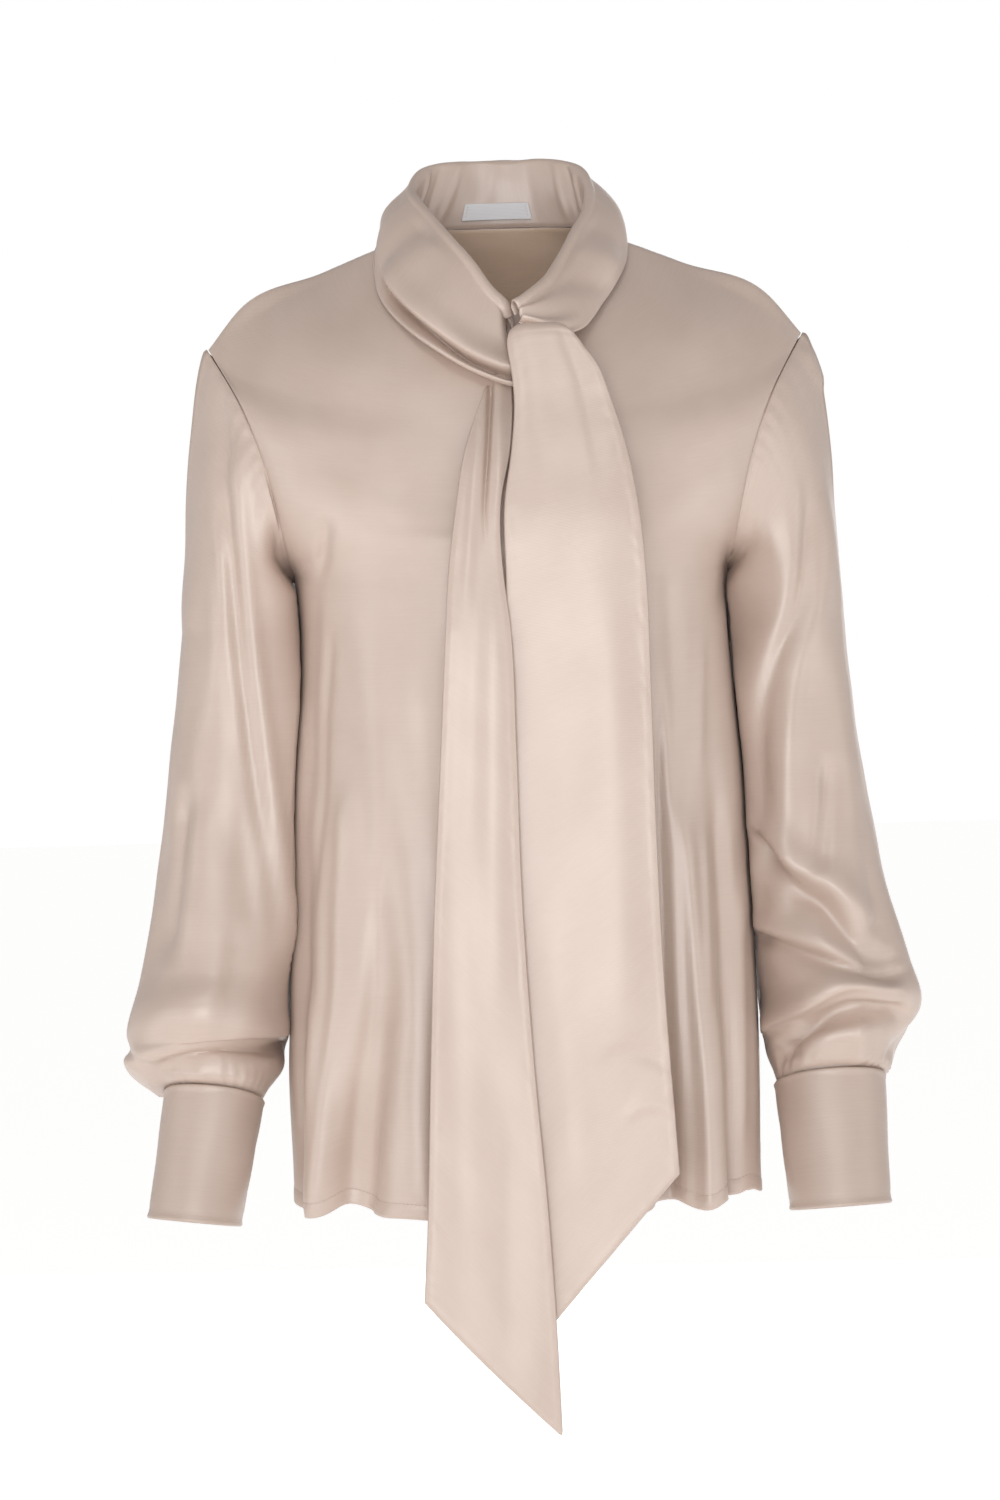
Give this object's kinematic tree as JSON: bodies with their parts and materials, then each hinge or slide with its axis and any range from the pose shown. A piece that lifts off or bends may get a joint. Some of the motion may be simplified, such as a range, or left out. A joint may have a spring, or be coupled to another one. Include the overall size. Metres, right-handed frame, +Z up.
{
  "type": "tie neck blouse",
  "caption": "Long-sleeved pullover blouse, hollow and worn-shaped, with a rolled band collar crossing at the front into two long slant-cut tie ends.",
  "frame": {"origin": "middle of the neck base, level with the neck ends of the shoulder seams, where the wearer's neck and shoulders hold the blouse", "axes": "+Z up along the garment from hem to collar, +X to the wearer's left, -Y to the front"},
  "size_m": [0.5474, 0.2736, 0.8672],
  "materials": {
    "satin": "soft satin, pale warm beige",
    "satin_cuff": "soft satin, pale warm beige, interfaced",
    "label_weave": "plain white woven label, bare",
    "thread": "twisted beige thread"
  },
  "bodies": {
    "root": {"front": "satin", "back": "satin", "sleeve_right": "satin", "sleeve_left": "satin", "cuff_right": "satin_cuff", "cuff_left": "satin_cuff", "neck_band": "satin", "tie_over": "satin", "tie_under": "satin", "tie_knot": "satin", "label": "label_weave", "neck_loop": "thread"}
  },
  "joints": []
}
